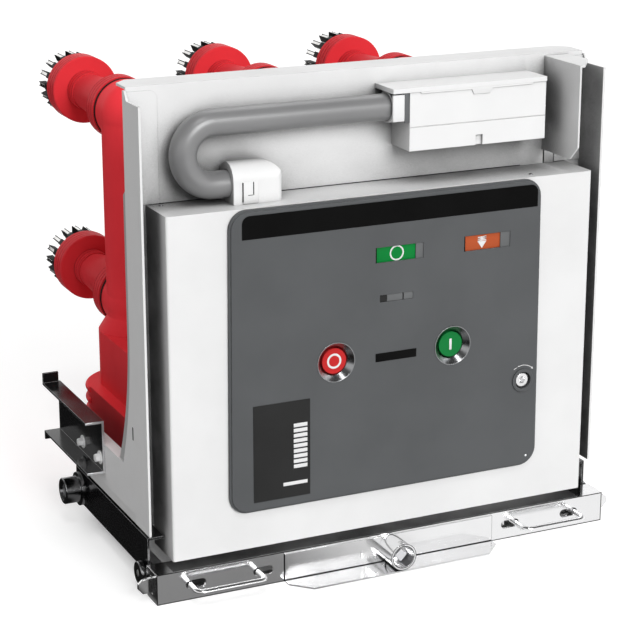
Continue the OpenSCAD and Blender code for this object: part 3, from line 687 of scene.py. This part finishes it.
def make_fingers(set_):
    """Rings of silver plated fingers in dark clips with leaf springs, and the sealing rings."""
    centres, outer, reach = contact_centres()
    root, half, leaf = (value / MM for value in (set_.finger_root, set_.finger_thick / 2,
                                                 set_.leaf_thick))
    blade_start, clip_start, clip_end = 4, 2.5, 22

    def blade(bm):
        add_profile(bm, half, [
            (blade_start, root + 2), (reach - 9, root + 2), (reach - 5, root),
            (reach - 1.5, root + 1), (reach, root + 5), (reach, outer - 4),
            (reach - 2.5, outer - 0.5), (reach - 8, outer), (blade_start, outer)])

    def clip(bm):
        add_profile(bm, half + leaf + 1.2, [
            (clip_start, outer - 11), (clip_end - 2, outer - 11), (clip_end, outer - 9),
            (clip_end, outer - 2), (clip_end - 3, outer + 0.4), (clip_start, outer + 0.4)])
        for low in (-half - leaf, half):
            add_block(bm, mm(low, clip_end - 3, outer - 10),
                      mm(low + leaf, reach - 0.6, outer + 0.2))

    tree = make_ring_tree()
    for name, build, finish, slot, node in (
            ("contact_fingers", blade, "silver_plated_copper", None, "tulip_contacts"),
            ("finger_clips", clip, "clip_black", "black_paint", None)):
        template = make_template(name + "_template", build, bevel=0.3)
        scatter(name, centres, tree, {"Template": template, "Count": set_.finger_count}, finish,
                slot, replaces=node)
        bpy.data.objects.remove(template)

    bore, tube, rim, plate, end = root - 1.5, root + 9, outer - 2, 5, reach - 16
    cup = [(0, 0), (rim, 0), (rim, plate), (tube, plate), (tube, end), (bore, end), (bore, 1),
           (0, 1)]

    def carriers(bm):
        for centre in centres:
            add_turned(bm, [(r * MM, h * MM) for r, h in cup], facing(centre, -1))

    piece("finger_carriers", carriers, "silver_plated_copper", bevel=0.6)
    low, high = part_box("sleeve_gaskets")
    edge = high.x - middle("right_pole").x
    hole = 24 * MM

    def washers(radius, *spans):
        def build(bm):
            for centre in centres:
                place = facing((centre.x, low.y, centre.z), -1)
                for start, end in spans:
                    add_turned(bm, [(hole, start * MM), (radius, start * MM),
                                    (radius, end * MM), (hole, end * MM)], place, 64, closed=True)
        return build

    piece("sealing_rings", washers(edge, (1.8, 7.2)), "black_rubber", bevel=0.3,
          replaces="sleeve_gaskets")
    piece("seal_seats", washers(edge - 0.3 * MM, (0, 1.8), (7.2, 9)), "sleeve_red", "red_epoxy",
          bevel=0.2)


def hex_bolt(bm):
    """A hexagon bolt head of unit width on a round washer."""
    add_turned(bm, [(0, 0), (0.86, 0), (0.9, 0.03), (0.9, 0.13), (0.86, 0.16), (0, 0.16)],
               count=28)
    corner = 1 / math.sqrt(3)
    rows = [[bm.verts.new((scale * corner * math.cos(TURN * i / 6),
                           scale * corner * math.sin(TURN * i / 6), height)) for i in range(6)]
            for scale, height in ((1.0, 0.16), (1.0, 0.72), (0.86, 0.80))]
    bm.faces.new(list(reversed(rows[0])))
    bm.faces.new(rows[2])
    for one, two in zip(rows, rows[1:]):
        join_rings(bm, one, two)


def pan_head(bm):
    """A low domed screw head of unit diameter."""
    add_turned(bm, [(0, -0.02), (0.5, -0.02), (0.5, 0.12), (0.44, 0.22), (0.3, 0.29), (0, 0.32)],
               count=24)


def bolt_spots():
    """Places and facings of the hexagon bolts on brackets and crossmember."""
    bracket_wall = 3 * MM
    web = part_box("left_side_plate")[0].x - bracket_wall
    spots = [(Vector((-hand * web, FRONT + y * MM, z * MM)), Vector((hand, 0, 0)))
             for hand in (-1, 1) for y, z in ((256, 125), (187, 126.5))]
    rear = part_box("rear_crossmember")[1].y
    return spots + [(Vector((x * MM, rear, 49 * MM)), BACK) for x in (-276, -262, 262, 276)]


def screw_spots():
    """Places and facings of the small pan-head screws on cover and housing."""
    spots = [(Vector((x * MM, FRONT + y * MM, 487 * MM)), UP) for x, y in ((211, 14.5), (-278, 58))]
    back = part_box("mechanism_housing")[1].y
    return spots + [(Vector((x * MM, back, z * MM)), BACK) for x in (-212, 212)
                    for z in (185, 330, 474)]


def make_fasteners(set_):
    """Hexagon bolts on brackets and crossmember, small screws on cover and housing."""
    tree = make_fastener_tree()
    arm, slot_half = 0.3, 0.055
    cross = blocks(((-arm, -slot_half, 0.14), (arm, slot_half, 0.5)),
                   ((-slot_half, -arm, 0.14), (slot_half, arm, 0.5)))
    recess = make_template("recess_template", cross)
    for name, template, spots, width, finish, slot in (
            ("frame_bolts", make_template("bolt_template", hex_bolt), bolt_spots(),
             set_.bolt_size, "bolt_zinc", "zinc_steel"),
            ("cover_screws", make_template("screw_template", pan_head, cutter=recess),
             screw_spots(), set_.screw_head, "wheel_steel", None)):
        scatter(name, [place for place, axis in spots], tree,
                {"Template": template, "Size": width}, finish, slot,
                [axis for place, axis in spots])
        bpy.data.objects.remove(template)
    bpy.data.objects.remove(recess)


def make_window_marks(set_):
    """Flags deep in their windows with marks and end pieces, black strips of painted shade in the
    gaps beside them, and the counter's fields.
    """
    lift, gap_shade_width, thick = set_.mark_height, 1.8 * MM, 0.5 * MM
    ends, gap_shades = [], []
    for name, node, finish, end in (("state_flag", "state_window", "green_flag", 10.4),
                                    ("spring_flag", "spring_window", "orange_flag", 13.8)):
        low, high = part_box(node)
        flag_end = high.x - end * MM
        piece(name, blocks(((low.x + gap_shade_width, high.y - thick, low.z), (flag_end, high.y, high.z))),
              finish, bevel=0.1, replaces=node)
        ends.append(((flag_end, low.y + 0.1 * MM, low.z), high))
        # A black strip in the gap at each flag's left end, where the recess lies in shade: painted
        # shade.
        gap_shades.append(((low.x, low.y - 0.6 * MM, low.z), (low.x + gap_shade_width, high.y, high.z)))
    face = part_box("state_window")[1].y - thick + INLAY
    ring = Vector((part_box("state_window")[0].x + 30.6 * MM, face,
                   middle("state_window").z + 0.2 * MM))
    piece("state_ring", lambda bm: add_flat_ring(bm, ring, 7.9, 9.9, lift), "white_print",
          "white_plastic", bevel=0.06)

    def spring_mark(bm):
        x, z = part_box("spring_window")[0].x + 27 * MM, middle("spring_window").z
        # Half width, height, slant and thickness of each turn of the drawn spring
        for half, step, slant, width in ((6, 6.2, 0.4, 1.3), (6, 4.0, 0.4, 1.3),
                                         (6, 1.8, 0.4, 1.3), (-5.6, 5.1, -1.3, 0.7),
                                         (-5.6, 2.9, -1.3, 0.7)):
            add_band(bm, [Vector((x - half * MM, z + (step - slant) * MM)),
                          Vector((x + half * MM, z + (step + slant) * MM))], width * MM, face,
                     lift)
        add_prism(bm, [(x + side * MM, face - lift, z + up * MM)
                       for side, up in ((-6.5, 0.7), (6.5, 0.7), (0, -8.3))], (0, lift, 0))

    piece("spring_mark", spring_mark, "white_print", "white_plastic")
    piece("flag_end_pieces", blocks(*ends), "window_end", "grey_panel", bevel=0.2)
    piece("window_liners", blocks(*gap_shades), "clip_black", "black_gloss", bevel=0.1)
    low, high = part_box("counter_window")

    def drums(bm):
        z, half = (low.z + high.z) / 2, 0.96 * (high.z - low.z) / 2
        for start, end in ((10.6, 32.0), (34.0, 46.7)):
            side = [(0.5 - 0.9 * math.cos(a), a) for a in (-1.0, -0.6, -0.2, 0.2, 0.6, 1.0)]
            side += [(0.6, 1), (0.6, -1)]
            add_prism(bm, [(low.x + start * MM, low.y + deep * MM, z + half * up)
                           for deep, up in side], ((end - start) * MM, 0, 0))

    piece("counter_fields", drums, "window_end", "grey_panel")


def make_button_marks(set_):
    """Ring on the opening cap and bar on the closing cap, each hung on the body named for its cap.
    """
    lift = set_.mark_height
    centre = middle("open_button")
    centre.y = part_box("open_button")[0].y + INLAY
    piece("open_ring", lambda bm: add_flat_ring(bm, centre, 7.2, 9.9, lift), "white_print",
          "white_plastic", bevel=0.06, body="open_button")
    x, y, z = middle("close_button").x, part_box("close_button")[0].y, middle("close_button").z
    half_wide, half_tall = 1.7 * MM, 7.4 * MM
    bar = ((x - half_wide, y - lift, z - half_tall), (x + half_wide, y + INLAY, z + half_tall))
    piece("close_bar", blocks(bar), "white_print", "white_plastic", bevel=0.1, body="close_button")


def make_panel_marks(set_):
    """Turning arrow over the charging socket, and a rivet in the panel's corner."""
    lift, radius = set_.mark_height, 20.5 * MM
    socket = middle("charging_socket")

    def arrow(bm):
        path = [Vector((socket.x + radius * math.cos(turn), socket.z + radius * math.sin(turn)))
                for turn in map(math.radians, range(50, 131, 8))]
        add_band(bm, path, 0.8 * MM, PANEL_FACE, lift)
        add_prism(bm, [(path[0].x + x * MM, PANEL_FACE - lift, path[0].y + z * MM)
                       for x, z in ((2.6, -2.2), (0.9, 1.3), (-1.1, -1.1))], (0, lift, 0))

    piece("charging_arrow", arrow, "white_print", "white_plastic")
    dome = [(0, -0.3), (1.6, -0.3), (1.6, 0.3), (1.1, 0.8), (0, 1.0)]
    corner = facing((204 * MM, PANEL_FACE, 111 * MM), 1)
    piece("panel_rivet", lambda bm: add_turned(bm, [(r * MM, h * MM) for r, h in dome], corner, 20),
          "zinc_steel")


def make_plate_fields(set_):
    """Blank fields on the name plate, and the small blank plate between the buttons."""
    low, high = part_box("name_plate")
    top, foot = low.y - set_.mark_height, low.y + INLAY

    def field(left, bottom, height):
        """A field by the distances of its left end and foot from the plate's lower right."""
        return ((high.x - left * MM, top, low.z + bottom * MM),
                (high.x - 3.9 * MM, foot, low.z + (bottom + height) * MM))

    rows = [field(22.6, 92.2 - 6.8 * i, 4.8) for i in range(9)]
    piece("plate_fields", blocks(*rows, field(37, 16, 4.5)), "white_print", "white_plastic",
          bevel=0.05)
    low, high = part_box("legend_plate")
    piece("blank_plate", blocks(((-20 * MM, low.y, 272 * MM), (37.5 * MM, high.y, 283 * MM))),
          "black_gloss", bevel=0.25, replaces="legend_plate")


def make_plug_details(set_):
    """Lid skirt and collar of the plug, painted shade in the gap beside the collar, clip and slots
    of the elbow, joints of the cover.
    """
    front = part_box("plug_box")[0].y
    skirt = ((51, 606.3), (51, 605.2), (52.5, 603.6), (123.5, 603.6), (126.5, 597.3),
             (149.5, 597.3), (153, 603.6), (211.5, 603.6), (212, 604.2), (212, 606.3))
    piece("lid_skirt", lambda bm: add_prism(
        bm, [(x * MM, front + 0.05 * MM, z * MM) for x, z in skirt], (0, 2.2 * MM, 0)),
        "white_plastic", bevel=0.3)
    front = Vector((0, front, 0))
    # A dark grey strip in the gap between the hose's collar plate and the plug box: painted shade.
    piece("collar_seal", blocks((front + mm(30, 2.6, 568), front + mm(37, 5, 606))), "window_end",
          "grey_panel", bevel=0.4)
    piece("collar_plate", blocks((front + mm(14, 2.7, 570.5), front + mm(30, 6, 604))),
          "white_plastic", bevel=0.6)
    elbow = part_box("hose_elbow")[0]
    piece("elbow_clip", blocks((elbow + mm(12, -0.8, 0.5), elbow + mm(32, 0.6, 27.5))),
          "white_plastic", bevel=0.4)
    slots = [(elbow + mm(x, -0.9, z), elbow + mm(end_x, 0, end_z)) for x, end_x, z, end_z in
             ((11.4, 12.7, 3, 27), (25.2, 26.5, 11, 27), (18.5, 25.2, 10.6, 11.3))]
    piece("elbow_slots", blocks(*slots), "black_rubber")
    low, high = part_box("front_cover")
    seam_end = 226 * MM
    piece("cover_seam", blocks(((low.x + 4 * MM, high.y - 1 * MM, high.z - 0.5 * MM),
                                (seam_end, high.y + 0.2 * MM, high.z + 0.9 * MM))),
          "black_rubber", bevel=0.2)
    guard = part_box("plug_guard")[0]
    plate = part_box("back_plate")[0].y
    piece("notch_backing", blocks(((guard.x + 4 * MM, plate + 0.2 * MM, high.z),
                                   (high.x, plate + 2.8 * MM, guard.z))),
          "white_powder_coat", bevel=0.2)
    piece("notch_joint", blocks(((guard.x + 2.6 * MM, plate - 0.3 * MM, high.z),
                                 (guard.x + 4.4 * MM, plate + 1 * MM, guard.z))),
          "black_rubber", bevel=0.2)


def make_frame_edges(set_):
    """Bare cut ends of the black brackets, painted shade in the side plates' slits, and painted
    shade and dark reflections along the beam's edges.
    """
    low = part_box("side_brackets")[0]
    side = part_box("left_side_plate")[0].x
    wall, foot, top = 3 * MM, 107 * MM, 179 * MM
    near, far = low.y - 0.3 * MM, low.y + 0.1 * MM
    cuts = both_sides([((side - wall, near, foot), (side, far, top)),
                       ((low.x, near, top - wall), (side - wall, far, top)),
                       ((low.x, near, foot), (side - wall, far, foot + wall))])
    piece("bracket_cut_ends", blocks(*cuts), "zinc_steel", bevel=0.1)
    # Black blocks in the side plates' slits: painted shade.
    slits = both_sides([((side + 0.1 * MM, FRONT + 64.5 * MM, 190 * MM),
                         (side + 2.6 * MM, FRONT + 68.5 * MM, 207 * MM))])
    piece("slit_shade", blocks(*slits), "clip_black", "black_paint", bevel=0.2)

    # Thin black lines along the beam's edges, the lip's fold and round the crank tube's mouth:
    # painted shade and painted dark reflections.
    low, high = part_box("front_beam")
    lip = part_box("lip_plate")[1]
    line, proud, lip_foot = 1.1 * MM, 0.15 * MM, 2 * MM
    front, fold = low.y, low.y - 2 * MM
    near, far = front - proud, front + proud
    lines = [((low.x, near, high.z - line), (high.x, far, high.z + 0.05 * MM)),
             ((-lip.x, fold - proud, lip_foot), (lip.x, fold + proud, lip_foot + line))]
    lines += both_sides([((lip.x, near, 0), (high.x, far, line)),
                         ((high.x - line, near, 0), (high.x, far, high.z)),
                         ((lip.x - proud, fold, 0), (lip.x + proud, front, lip.z))])
    mouth = middle("crank_tube")
    mouth.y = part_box("crank_tube")[0].y + 0.05 * MM

    def edges(bm):
        blocks(*lines)(bm)
        for inner, outer in ((14.5, 15.3), (17.3, 18.0)):
            add_flat_ring(bm, mouth, inner, outer, proud, 64)

    piece("beam_edge_lines", edges, "clip_black", "black_paint", body="front_beam_unit")


def make_screw_thread(set_):
    """The racking screw with its square end and trapezoid thread."""
    low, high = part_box("lead_screw")
    centre = middle("lead_screw")
    outer, square_half, depth, end_margin = 8.0 * MM, 6 * MM, 1.6 * MM, 4 * MM
    pitch, around = set_.thread_pitch / 2, 40
    beam_front, beam_back = (corner.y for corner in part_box("front_beam"))
    steps = int((high.y - low.y) / (pitch / 8))

    def radius_at(y, k):
        if y < beam_front - end_margin:
            return square_half / math.cos(TURN * k / around % (TURN / 4) - TURN / 8)
        if beam_back + end_margin < y < high.y - end_margin:
            wave = (y / pitch + k / around) % 1.0
            return outer - depth * min(max(4 * abs(wave - 0.5) - 0.5, 0.0), 1.0)
        return outer

    def thread(bm):
        rows = []
        for i in range(steps + 1):
            y = low.y + (high.y - low.y) * i / steps
            rows.append([bm.verts.new((centre.x + radius_at(y, k) * math.cos(TURN * k / around), y,
                                       centre.z + radius_at(y, k) * math.sin(TURN * k / around)))
                         for k in range(around)])
        for one, two in zip(rows, rows[1:]):
            join_rings(bm, one, two)
        bm.faces.new(rows[0])
        bm.faces.new(list(reversed(rows[-1])))

    piece("racking_thread", thread, "zinc_steel", body="lead_screw", smooth=30.0,
          replaces="lead_screw")


# Stage

# Name, setting of the strength, width in degrees, direction of the light
LAMPS = (("key_lamp", "key", 30, (-0.06, 0.9, -0.42)),
         ("back_lamp", "fill", 45, (-0.30, -0.50, -0.82)),
         ("top_lamp", "top", 12, (0.145, 0.436, -0.888)))


def look_along(direction):
    """The turn of a camera or lamp that points along a direction."""
    return Vector(direction).to_track_quat("-Z", "Y").to_euler()


def mirrored_rays(tree, path):
    """One for the rays of reflections and glass."""
    return calc(tree, "MAXIMUM", path["Is Glossy Ray"], path["Is Transmission Ray"])


def make_camera(set_):
    lens = bpy.data.cameras.new("camera")
    lens.lens = set_.lens
    lens.sensor_width = 36.0
    lens.sensor_fit = "HORIZONTAL"
    lens.clip_end = 100.0
    camera = put("camera", lens)
    a, e = set_.azimuth, set_.elevation
    camera.location = set_.place
    camera.rotation_euler = look_along((-math.sin(a) * math.cos(e), math.cos(a) * math.cos(e),
                                        -math.sin(e)))
    bpy.context.scene.camera = camera


def make_floor(set_):
    """A pale floor, white in the open with a painted shadow under the truck; reflections see a
    painted reflection of it, darker on the left.
    """
    wide = 40.0
    mesh = bpy.data.meshes.new("floor")
    mesh.from_pydata([(-wide, -wide, 0), (wide, -wide, 0), (wide, wide, 0), (-wide, wide, 0)],
                     [], [(0, 1, 2, 3)])
    put("floor", mesh)
    material, tree, shader = new_material("pale_floor")
    mesh.materials.append(material)
    path = tree.nodes.new("ShaderNodeLightPath").outputs
    # Where the floor is closed in under the truck, its lift to white is held back: a painted
    # shadow.
    open_air = add_node(tree, "ShaderNodeAmbientOcclusion", {"Distance": 0.2}, "AO", samples=8)
    glow_with_painted_shadow = spread(tree, open_air, 0.0, set_.floor_glow, 0.08, 0.28)
    feed(tree, shader, {
        "Base Color": (0.6, 0.6, 0.6, 1), "Roughness": 1.0, "Specular IOR Level": 0.0,
        "Emission Color": (1, 1, 1, 1),
        "Emission Strength": spread(tree, path["Is Camera Ray"], 0.0, glow_with_painted_shadow, 0.0, 1.0)})
    # Reflections see the floor as a plain emission, darker on the left and near black at the far
    # left: a painted reflection.
    across = add_node(tree, "ShaderNodeSeparateXYZ", {"Vector": own_place(tree)}, "X")
    right = spread(tree, across, set_.painted_floor_reflection, 1.0, -0.13, 0.07)
    painted_reflection = spread(tree, across, 0.02, right, -0.328, -0.320)
    mirrored = add_node(tree, "ShaderNodeEmission", {"Strength": painted_reflection})
    either = add_node(tree, "ShaderNodeMixShader", {
        "Fac": mirrored_rays(tree, path), 1: shader.outputs["BSDF"], 2: mirrored})
    feed(tree, tree.nodes["Material Output"], {"Surface": either})


def make_sky(set_):
    """Even light; rays that are seen or mirrored meet a white wall and a dark ceiling."""
    world = bpy.data.worlds.new("even_sky")
    bpy.context.scene.world = world
    world.use_nodes = True
    tree = world.node_tree
    path = tree.nodes.new("ShaderNodeLightPath").outputs
    seen = calc(tree, "MAXIMUM", path["Is Camera Ray"], mirrored_rays(tree, path))
    around = add_node(tree, "ShaderNodeTexCoord", {}, "Generated")
    height = add_node(tree, "ShaderNodeSeparateXYZ", {"Vector": around}, "Z")
    wall = spread(tree, height, set_.wall, set_.ceiling, 0.4, 0.55)
    feed(tree, tree.nodes["Background"], {
        "Color": (1, 1, 1, 1), "Strength": spread(tree, seen, set_.sky, wall, 0.0, 1.0)})


def make_stage(set_):
    """Camera, lamps, floor and sky."""
    bpy.context.scene.view_settings.view_transform = "Standard"
    make_camera(set_)
    for name, setting, width, shine in LAMPS:
        lamp = bpy.data.lights.new(name, "SUN")
        lamp.energy = getattr(set_, setting)
        lamp.angle = math.radians(width)
        put(name, lamp).rotation_euler = look_along(shine)
    make_floor(set_)
    make_sky(set_)


# Operators

class Step:
    """Runs its makers with one group of the scene's settings."""
    settings = "breaker_sizes"
    makers = ()

    def execute(self, context):
        for maker in self.makers:
            maker(getattr(context.scene, self.settings))
        return {"FINISHED"}


class BREAKER_OT_finishes(Step, bpy.types.Operator):
    """Makes the finishes and paints every solid"""
    bl_idname = "breaker.finishes"
    bl_label = "Finishes"
    settings = "breaker_finishes"
    makers = (make_finishes, paint_solids)


class BREAKER_OT_stage(Step, bpy.types.Operator):
    """Sets the camera, the floor and the light"""
    bl_idname = "breaker.stage"
    bl_label = "Stage"
    settings = "breaker_studio"
    makers = (make_stage,)


class BREAKER_OT_hose(Step, bpy.types.Operator):
    """Lays the control hose from the elbow to the plug"""
    bl_idname = "breaker.hose"
    bl_label = "Control hose"
    makers = (make_hose,)


class BREAKER_OT_fingers(Step, bpy.types.Operator):
    """Makes the contact fingers, their springs and carriers, and the sealing rings"""
    bl_idname = "breaker.fingers"
    bl_label = "Contact fingers"
    makers = (make_fingers,)


class BREAKER_OT_fasteners(Step, bpy.types.Operator):
    """Sets bolts and screws on the frame and the cover"""
    bl_idname = "breaker.fasteners"
    bl_label = "Bolts and screws"
    makers = (make_fasteners,)


class BREAKER_OT_windows(Step, bpy.types.Operator):
    """Adds the flags and marks in the windows and the counter's fields"""
    bl_idname = "breaker.windows"
    bl_label = "Window marks"
    makers = (make_window_marks,)


class BREAKER_OT_buttons(Step, bpy.types.Operator):
    """Adds the ring and the bar on the button caps"""
    bl_idname = "breaker.buttons"
    bl_label = "Button marks"
    makers = (make_button_marks,)


class BREAKER_OT_panel_marks(Step, bpy.types.Operator):
    """Adds the turning arrow, the rivet and the plates' blank fields"""
    bl_idname = "breaker.panel_marks"
    bl_label = "Panel marks"
    makers = (make_panel_marks, make_plate_fields)


class BREAKER_OT_plug(Step, bpy.types.Operator):
    """Adds skirt and collar of the plug, clip of the elbow and joints of the cover"""
    bl_idname = "breaker.plug"
    bl_label = "Plug details"
    makers = (make_plug_details,)


class BREAKER_OT_frame_edges(Step, bpy.types.Operator):
    """Adds the brackets' bare cut ends, and painted shade in the slits and along the beam's edges
    """
    bl_idname = "breaker.frame_edges"
    bl_label = "Frame edges"
    makers = (make_frame_edges,)


class BREAKER_OT_thread(Step, bpy.types.Operator):
    """Cuts the thread of the racking screw"""
    bl_idname = "breaker.thread"
    bl_label = "Racking screw"
    makers = (make_screw_thread,)


SETTINGS = {"breaker_finishes": BreakerFinishes, "breaker_sizes": BreakerSizes,
            "breaker_studio": StudioSettings}
STEPS = (BREAKER_OT_finishes, BREAKER_OT_stage, BREAKER_OT_hose, BREAKER_OT_fingers,
         BREAKER_OT_fasteners, BREAKER_OT_windows, BREAKER_OT_buttons, BREAKER_OT_panel_marks,
         BREAKER_OT_plug, BREAKER_OT_frame_edges, BREAKER_OT_thread)


class BREAKER_PT_panel(bpy.types.Panel):
    """Lists the breaker's pieces"""
    bl_idname = "BREAKER_PT_panel"
    bl_label = "Circuit breaker"
    bl_space_type = "VIEW_3D"
    bl_region_type = "UI"
    bl_category = "Breaker"

    def draw(self, context):
        for step in STEPS:
            self.layout.operator(step.bl_idname)
        for group in SETTINGS:
            settings = getattr(context.scene, group)
            box = self.layout.box()
            for name in settings.__annotations__:
                box.prop(settings, name)


CLASSES = (*SETTINGS.values(), *STEPS, BREAKER_PT_panel)


def register():
    for item in CLASSES:
        bpy.utils.register_class(item)
    for name, group in SETTINGS.items():
        setattr(bpy.types.Scene, name, PointerProperty(type=group))


def unregister():
    for name in SETTINGS:
        delattr(bpy.types.Scene, name)
    for item in reversed(CLASSES):
        bpy.utils.unregister_class(item)


def main():
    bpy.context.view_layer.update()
    register()
    bpy.ops.breaker.finishes()
    bpy.ops.breaker.stage()
    bpy.ops.breaker.hose()
    bpy.ops.breaker.fingers()
    bpy.ops.breaker.fasteners()
    bpy.ops.breaker.windows()
    bpy.ops.breaker.buttons()
    bpy.ops.breaker.panel_marks()
    bpy.ops.breaker.plug()
    bpy.ops.breaker.frame_edges()
    bpy.ops.breaker.thread()
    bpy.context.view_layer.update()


if __name__ == "__main__":
    main()
